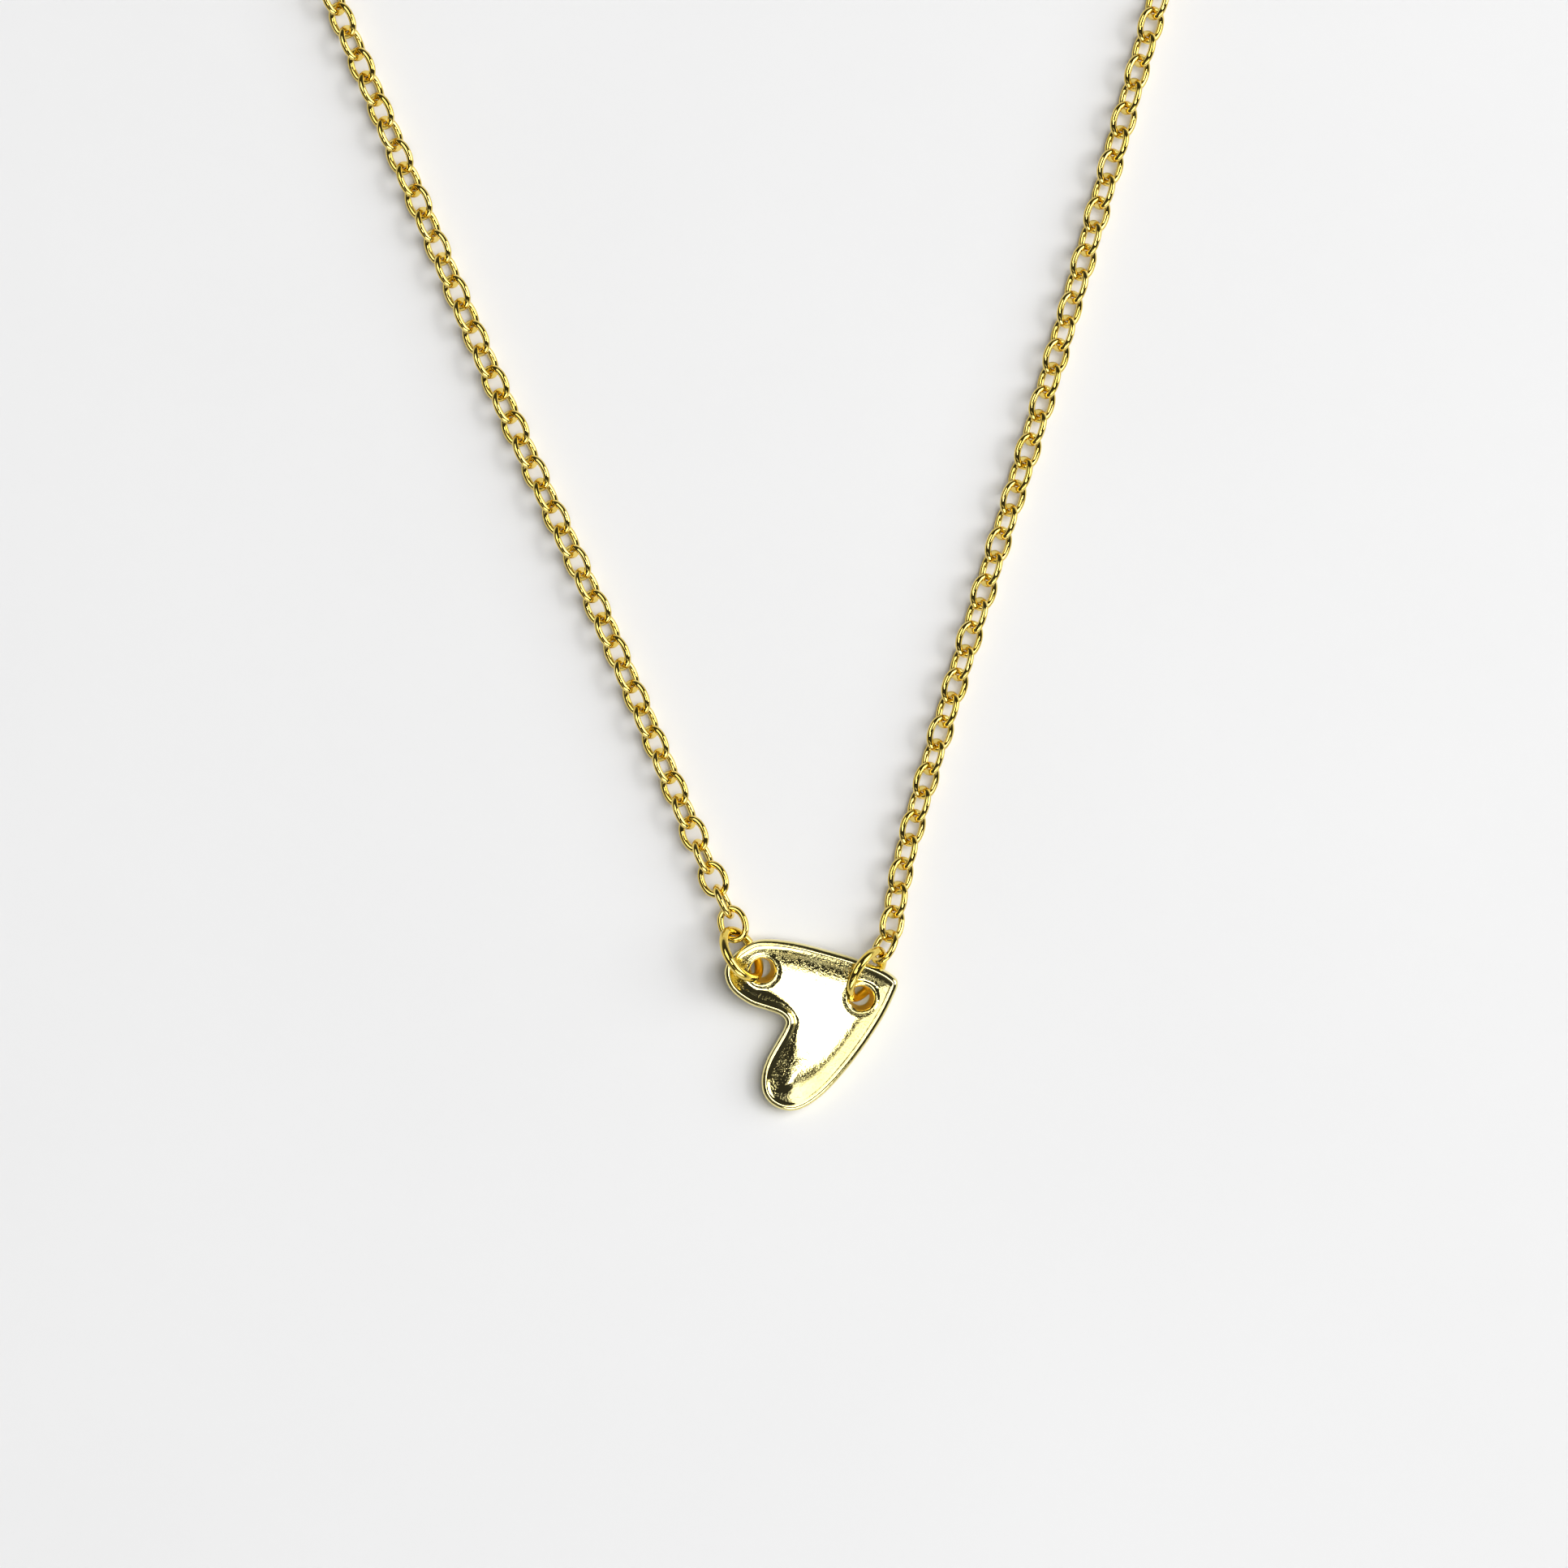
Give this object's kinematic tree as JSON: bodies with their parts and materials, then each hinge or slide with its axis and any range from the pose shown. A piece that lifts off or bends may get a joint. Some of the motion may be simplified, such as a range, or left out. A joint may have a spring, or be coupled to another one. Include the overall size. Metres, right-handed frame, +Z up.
{
  "type": "pendant necklace",
  "caption": "Fine cable-chain necklace with a small sideways heart pendant hung from two jump rings, a sprung lobster clasp and an extender with a round drop.",
  "frame": {"origin": "centre of the heart pendant's flat back, where it rests against the wearer", "axes": "+Z up, away from the surface that the necklace is laid on; +Y from the heart towards the two free ends; +X to the right, seen from the front"},
  "size_m": [0.0966, 0.2108, 0.0034],
  "materials": {
    "heart_pendant": "gold plated, mirror polished dish and rim",
    "left_jump_ring": "gold plated, polished",
    "left_link_01": "gold plated, polished",
    "left_link_02": "gold plated, polished",
    "left_link_03": "gold plated, polished",
    "left_link_04": "gold plated, polished",
    "left_link_05": "gold plated, polished",
    "left_link_06": "gold plated, polished",
    "left_link_07": "gold plated, polished",
    "left_link_08": "gold plated, polished",
    "left_chain_run_1": "gold plated, polished",
    "left_chain_run_2": "gold plated, polished",
    "left_chain_run_3": "gold plated, polished",
    "left_chain_run_4": "gold plated, polished",
    "left_chain_run_5": "gold plated, polished",
    "left_chain_run_6": "gold plated, polished",
    "left_chain_run_7": "gold plated, polished",
    "left_chain_run_8": "gold plated, polished",
    "left_end_link": "gold plated, polished",
    "clasp_jump_ring": "gold plated, polished",
    "clasp_body": "gold plated, polished",
    "clasp_pivot_pin": "gold plated, polished",
    "clasp_spring": "drawn spring wire",
    "clasp_gate": "gold plated, polished",
    "right_jump_ring": "gold plated, polished",
    "right_link_01": "gold plated, polished",
    "right_link_02": "gold plated, polished",
    "right_link_03": "gold plated, polished",
    "right_link_04": "gold plated, polished",
    "right_link_05": "gold plated, polished",
    "right_link_06": "gold plated, polished",
    "right_link_07": "gold plated, polished",
    "right_link_08": "gold plated, polished",
    "right_chain_run_1": "gold plated, polished",
    "right_chain_run_2": "gold plated, polished",
    "right_chain_run_3": "gold plated, polished",
    "right_chain_run_4": "gold plated, polished",
    "right_chain_run_5": "gold plated, polished",
    "right_chain_run_6": "gold plated, polished",
    "right_chain_run_7": "gold plated, polished",
    "right_chain_run_8": "gold plated, polished",
    "right_end_link": "gold plated, polished",
    "extender_jump_ring": "gold plated, polished",
    "extender_link_01": "gold plated, polished",
    "extender_link_02": "gold plated, polished",
    "extender_link_03": "gold plated, polished",
    "extender_link_04": "gold plated, polished",
    "extender_link_05": "gold plated, polished",
    "extender_link_06": "gold plated, polished",
    "extender_link_07": "gold plated, polished",
    "extender_link_08": "gold plated, polished",
    "extender_link_09": "gold plated, polished",
    "extender_drop": "gold plated, polished"
  },
  "bodies": {
    "heart_pendant": {"heart_pendant": "heart_pendant"},
    "left_jump_ring": {"left_jump_ring": "left_jump_ring"},
    "left_link_01": {"left_link_01": "left_link_01"},
    "left_link_02": {"left_link_02": "left_link_02"},
    "left_link_03": {"left_link_03": "left_link_03"},
    "left_link_04": {"left_link_04": "left_link_04"},
    "left_link_05": {"left_link_05": "left_link_05"},
    "left_link_06": {"left_link_06": "left_link_06"},
    "left_link_07": {"left_link_07": "left_link_07"},
    "left_link_08": {"left_link_08": "left_link_08"},
    "left_chain_run_1": {"left_chain_run_1": "left_chain_run_1"},
    "left_chain_run_2": {"left_chain_run_2": "left_chain_run_2"},
    "left_chain_run_3": {"left_chain_run_3": "left_chain_run_3"},
    "left_chain_run_4": {"left_chain_run_4": "left_chain_run_4"},
    "left_chain_run_5": {"left_chain_run_5": "left_chain_run_5"},
    "left_chain_run_6": {"left_chain_run_6": "left_chain_run_6"},
    "left_chain_run_7": {"left_chain_run_7": "left_chain_run_7"},
    "left_chain_run_8": {"left_chain_run_8": "left_chain_run_8"},
    "left_end_link": {"left_end_link": "left_end_link"},
    "clasp_jump_ring": {"clasp_jump_ring": "clasp_jump_ring"},
    "clasp": {"clasp_body": "clasp_body", "clasp_pivot_pin": "clasp_pivot_pin", "clasp_spring": "clasp_spring"},
    "right_jump_ring": {"right_jump_ring": "right_jump_ring"},
    "right_link_01": {"right_link_01": "right_link_01"},
    "right_link_02": {"right_link_02": "right_link_02"},
    "right_link_03": {"right_link_03": "right_link_03"},
    "right_link_04": {"right_link_04": "right_link_04"},
    "right_link_05": {"right_link_05": "right_link_05"},
    "right_link_06": {"right_link_06": "right_link_06"},
    "right_link_07": {"right_link_07": "right_link_07"},
    "right_link_08": {"right_link_08": "right_link_08"},
    "right_chain_run_1": {"right_chain_run_1": "right_chain_run_1"},
    "right_chain_run_2": {"right_chain_run_2": "right_chain_run_2"},
    "right_chain_run_3": {"right_chain_run_3": "right_chain_run_3"},
    "right_chain_run_4": {"right_chain_run_4": "right_chain_run_4"},
    "right_chain_run_5": {"right_chain_run_5": "right_chain_run_5"},
    "right_chain_run_6": {"right_chain_run_6": "right_chain_run_6"},
    "right_chain_run_7": {"right_chain_run_7": "right_chain_run_7"},
    "right_chain_run_8": {"right_chain_run_8": "right_chain_run_8"},
    "right_end_link": {"right_end_link": "right_end_link"},
    "extender_jump_ring": {"extender_jump_ring": "extender_jump_ring"},
    "extender_link_01": {"extender_link_01": "extender_link_01"},
    "extender_link_02": {"extender_link_02": "extender_link_02"},
    "extender_link_03": {"extender_link_03": "extender_link_03"},
    "extender_link_04": {"extender_link_04": "extender_link_04"},
    "extender_link_05": {"extender_link_05": "extender_link_05"},
    "extender_link_06": {"extender_link_06": "extender_link_06"},
    "extender_link_07": {"extender_link_07": "extender_link_07"},
    "extender_link_08": {"extender_link_08": "extender_link_08"},
    "extender_link_09": {"extender_link_09": "extender_link_09"},
    "extender_drop": {"extender_drop": "extender_drop"},
    "clasp_gate": {"clasp_gate": "clasp_gate"}
  },
  "joints": [
    {"name": "left_jump_ring_swivel", "type": "hinge", "parent": "heart_pendant", "child": "left_jump_ring", "pos_m": [-0.00285, 0.00321, 0.00071], "axis": [0, 0, 1], "range_deg": [-12, 12]},
    {"name": "left_link_01_swing", "type": "hinge", "parent": "left_jump_ring", "child": "left_link_01", "pos_m": [-0.00436, 0.00516, 0.00057], "axis": [0, 0, -1], "range_deg": [-15, 15]},
    {"name": "left_link_02_lift", "type": "hinge", "parent": "left_link_01", "child": "left_link_02", "pos_m": [-0.00482, 0.00652, 0.00047], "axis": [0.8989, 0.4382, 0], "range_deg": [0, 15]},
    {"name": "left_link_03_swing", "type": "hinge", "parent": "left_link_02", "child": "left_link_03", "pos_m": [-0.00545, 0.00781, 0.00045], "axis": [0, 0, 1], "range_deg": [-15, 15]},
    {"name": "left_link_04_swing", "type": "hinge", "parent": "left_link_03", "child": "left_link_04", "pos_m": [-0.00605, 0.00913, 0.00043], "axis": [0, 0, -1], "range_deg": [-15, 15]},
    {"name": "left_link_05_lift", "type": "hinge", "parent": "left_link_04", "child": "left_link_05", "pos_m": [-0.00662, 0.01045, 0.00042], "axis": [0.9194, 0.3934, 0], "range_deg": [0, 15]},
    {"name": "left_link_06_swing", "type": "hinge", "parent": "left_link_05", "child": "left_link_06", "pos_m": [-0.00718, 0.01177, 0.00038], "axis": [0, 0, 1], "range_deg": [-15, 15]},
    {"name": "left_link_07_swing", "type": "hinge", "parent": "left_link_06", "child": "left_link_07", "pos_m": [-0.00774, 0.0131, 0.00035], "axis": [0, 0, -1], "range_deg": [-15, 15]},
    {"name": "left_link_08_swing", "type": "hinge", "parent": "left_link_07", "child": "left_link_08", "pos_m": [-0.0083, 0.01443, 0.00033], "axis": [0, 0, 1], "range_deg": [-15, 15]},
    {"name": "left_chain_run_1_lift", "type": "hinge", "parent": "left_link_08", "child": "left_chain_run_1", "pos_m": [-0.00886, 0.01575, 0.00033], "axis": [0.9139, 0.406, 0], "range_deg": [0, 15]},
    {"name": "left_chain_run_2_bend", "type": "hinge", "parent": "left_chain_run_1", "child": "left_chain_run_2", "pos_m": [-0.01704, 0.03418, 0.00033], "axis": [0, 0, -1], "range_deg": [-20, 20]},
    {"name": "left_chain_run_3_lift", "type": "hinge", "parent": "left_chain_run_2", "child": "left_chain_run_3", "pos_m": [-0.02494, 0.05273, 0.00033], "axis": [0.926, 0.3774, 0], "range_deg": [0, 15]},
    {"name": "left_chain_run_4_bend", "type": "hinge", "parent": "left_chain_run_3", "child": "left_chain_run_4", "pos_m": [-0.03254, 0.07139, 0.00033], "axis": [0, 0, 1], "range_deg": [-20, 20]},
    {"name": "left_chain_run_5_bend", "type": "hinge", "parent": "left_chain_run_4", "child": "left_chain_run_5", "pos_m": [-0.03916, 0.09043, 0.00033], "axis": [0, 0, -1], "range_deg": [-20, 20]},
    {"name": "left_chain_run_6_lift", "type": "hinge", "parent": "left_chain_run_5", "child": "left_chain_run_6", "pos_m": [-0.04468, 0.10982, 0.00033], "axis": [0.9759, 0.2183, 0], "range_deg": [0, 15]},
    {"name": "left_chain_run_7_bend", "type": "hinge", "parent": "left_chain_run_6", "child": "left_chain_run_7", "pos_m": [-0.04908, 0.12949, 0.00033], "axis": [0, 0, 1], "range_deg": [-20, 20]},
    {"name": "left_chain_run_8_bend", "type": "hinge", "parent": "left_chain_run_7", "child": "left_chain_run_8", "pos_m": [-0.05235, 0.14938, 0.00033], "axis": [0, 0, -1], "range_deg": [-20, 20]},
    {"name": "left_end_link_swing", "type": "hinge", "parent": "left_chain_run_8", "child": "left_end_link", "pos_m": [-0.05447, 0.16941, 0.00058], "axis": [0, 0, 1], "range_deg": [-20, 20]},
    {"name": "clasp_jump_ring_swing", "type": "hinge", "parent": "left_end_link", "child": "clasp_jump_ring", "pos_m": [-0.05458, 0.17083, 0.00077], "axis": [0, 0, -1], "range_deg": [-20, 20]},
    {"name": "clasp_swing", "type": "hinge", "parent": "clasp_jump_ring", "child": "clasp", "pos_m": [-0.05471, 0.17276, 0.00072], "axis": [0, 0, 1], "range_deg": [-15, 15]},
    {"name": "right_jump_ring_swivel", "type": "hinge", "parent": "heart_pendant", "child": "right_jump_ring", "pos_m": [0.00295, 0.00159, 0.00077], "axis": [0, 0, -1], "range_deg": [-12, 12]},
    {"name": "right_link_01_swing", "type": "hinge", "parent": "right_jump_ring", "child": "right_link_01", "pos_m": [0.00395, 0.00389, 0.00091], "axis": [0, 0, 1], "range_deg": [-12, 12]},
    {"name": "right_link_02_lift", "type": "hinge", "parent": "right_link_01", "child": "right_link_02", "pos_m": [0.00456, 0.00515, 0.00058], "axis": [0.9819, -0.1895, 0], "range_deg": [0, 15]},
    {"name": "right_link_03_swing", "type": "hinge", "parent": "right_link_02", "child": "right_link_03", "pos_m": [0.00483, 0.00656, 0.00047], "axis": [0, 0, -1], "range_deg": [-15, 15]},
    {"name": "right_link_04_swing", "type": "hinge", "parent": "right_link_03", "child": "right_link_04", "pos_m": [0.00506, 0.00798, 0.00034], "axis": [0, 0, 1], "range_deg": [-15, 15]},
    {"name": "right_link_05_lift", "type": "hinge", "parent": "right_link_04", "child": "right_link_05", "pos_m": [0.00536, 0.00939, 0.00033], "axis": [0.97, -0.243, 0], "range_deg": [0, 15]},
    {"name": "right_link_06_swing", "type": "hinge", "parent": "right_link_05", "child": "right_link_06", "pos_m": [0.00571, 0.01078, 0.00033], "axis": [0, 0, -1], "range_deg": [-15, 15]},
    {"name": "right_link_07_swing", "type": "hinge", "parent": "right_link_06", "child": "right_link_07", "pos_m": [0.00609, 0.01217, 0.00033], "axis": [0, 0, 1], "range_deg": [-15, 15]},
    {"name": "right_link_08_swing", "type": "hinge", "parent": "right_link_07", "child": "right_link_08", "pos_m": [0.00649, 0.01356, 0.00033], "axis": [0, 0, -1], "range_deg": [-15, 15]},
    {"name": "right_chain_run_1_lift", "type": "hinge", "parent": "right_link_08", "child": "right_chain_run_1", "pos_m": [0.0069, 0.01494, 0.00033], "axis": [0.9554, -0.2952, 0], "range_deg": [0, 15]},
    {"name": "right_chain_run_2_bend", "type": "hinge", "parent": "right_chain_run_1", "child": "right_chain_run_2", "pos_m": [0.01285, 0.0342, 0.00033], "axis": [0, 0, 1], "range_deg": [-20, 20]},
    {"name": "right_chain_run_3_lift", "type": "hinge", "parent": "right_chain_run_2", "child": "right_chain_run_3", "pos_m": [0.01845, 0.05357, 0.00033], "axis": [0.9642, -0.2652, 0], "range_deg": [0, 15]},
    {"name": "right_chain_run_4_bend", "type": "hinge", "parent": "right_chain_run_3", "child": "right_chain_run_4", "pos_m": [0.02379, 0.073, 0.00033], "axis": [0, 0, -1], "range_deg": [-20, 20]},
    {"name": "right_chain_run_5_bend", "type": "hinge", "parent": "right_chain_run_4", "child": "right_chain_run_5", "pos_m": [0.02836, 0.09264, 0.00033], "axis": [0, 0, 1], "range_deg": [-20, 20]},
    {"name": "right_chain_run_6_lift", "type": "hinge", "parent": "right_chain_run_5", "child": "right_chain_run_6", "pos_m": [0.03209, 0.11245, 0.00033], "axis": [0.9897, -0.1433, 0], "range_deg": [0, 15]},
    {"name": "right_chain_run_7_bend", "type": "hinge", "parent": "right_chain_run_6", "child": "right_chain_run_7", "pos_m": [0.03498, 0.1324, 0.00033], "axis": [0, 0, -1], "range_deg": [-20, 20]},
    {"name": "right_chain_run_8_bend", "type": "hinge", "parent": "right_chain_run_7", "child": "right_chain_run_8", "pos_m": [0.03702, 0.15245, 0.00033], "axis": [0, 0, 1], "range_deg": [-20, 20]},
    {"name": "right_end_link_swing", "type": "hinge", "parent": "right_chain_run_8", "child": "right_end_link", "pos_m": [0.03821, 0.17256, 0.00056], "axis": [0, 0, -1], "range_deg": [-20, 20]},
    {"name": "extender_jump_ring_swing", "type": "hinge", "parent": "right_end_link", "child": "extender_jump_ring", "pos_m": [0.03826, 0.17399, 0.00075], "axis": [0, 0, 1], "range_deg": [-20, 20]},
    {"name": "extender_link_01_swing", "type": "hinge", "parent": "extender_jump_ring", "child": "extender_link_01", "pos_m": [0.0383, 0.17592, 0.00075], "axis": [0, 0, -1], "range_deg": [-20, 20]},
    {"name": "extender_link_02_swing", "type": "hinge", "parent": "extender_link_01", "child": "extender_link_02", "pos_m": [0.03829, 0.17889, 0.00075], "axis": [0, 0, 1], "range_deg": [-20, 20]},
    {"name": "extender_link_03_lift", "type": "hinge", "parent": "extender_link_02", "child": "extender_link_03", "pos_m": [0.03817, 0.18185, 0.00075], "axis": [0.9972, 0.0742, 0], "range_deg": [0, 15]},
    {"name": "extender_link_04_swing", "type": "hinge", "parent": "extender_link_03", "child": "extender_link_04", "pos_m": [0.03795, 0.18482, 0.00075], "axis": [0, 0, -1], "range_deg": [-20, 20]},
    {"name": "extender_link_05_swing", "type": "hinge", "parent": "extender_link_04", "child": "extender_link_05", "pos_m": [0.03763, 0.18777, 0.00075], "axis": [0, 0, 1], "range_deg": [-20, 20]},
    {"name": "extender_link_06_swing", "type": "hinge", "parent": "extender_link_05", "child": "extender_link_06", "pos_m": [0.0372, 0.19071, 0.00075], "axis": [0, 0, -1], "range_deg": [-20, 20]},
    {"name": "extender_link_07_swing", "type": "hinge", "parent": "extender_link_06", "child": "extender_link_07", "pos_m": [0.03668, 0.19363, 0.00075], "axis": [0, 0, 1], "range_deg": [-20, 20]},
    {"name": "extender_link_08_swing", "type": "hinge", "parent": "extender_link_07", "child": "extender_link_08", "pos_m": [0.03605, 0.19653, 0.00075], "axis": [0, 0, -1], "range_deg": [-20, 20]},
    {"name": "extender_link_09_swing", "type": "hinge", "parent": "extender_link_08", "child": "extender_link_09", "pos_m": [0.03533, 0.19941, 0.00075], "axis": [0, 0, 1], "range_deg": [-20, 20]},
    {"name": "extender_drop_swing", "type": "hinge", "parent": "extender_link_09", "child": "extender_drop", "pos_m": [0.0345, 0.20227, 0.00075], "axis": [0, 0, -1], "range_deg": [-20, 20]},
    {"name": "clasp_gate_open", "type": "hinge", "parent": "clasp", "child": "clasp_gate", "pos_m": [-0.05506, 0.17569, 0.00072], "axis": [0, 0, -1], "range_deg": [0, 26], "stiffness_Nm_per_rad": 0.005, "springref_deg": -17.19}
  ]
}
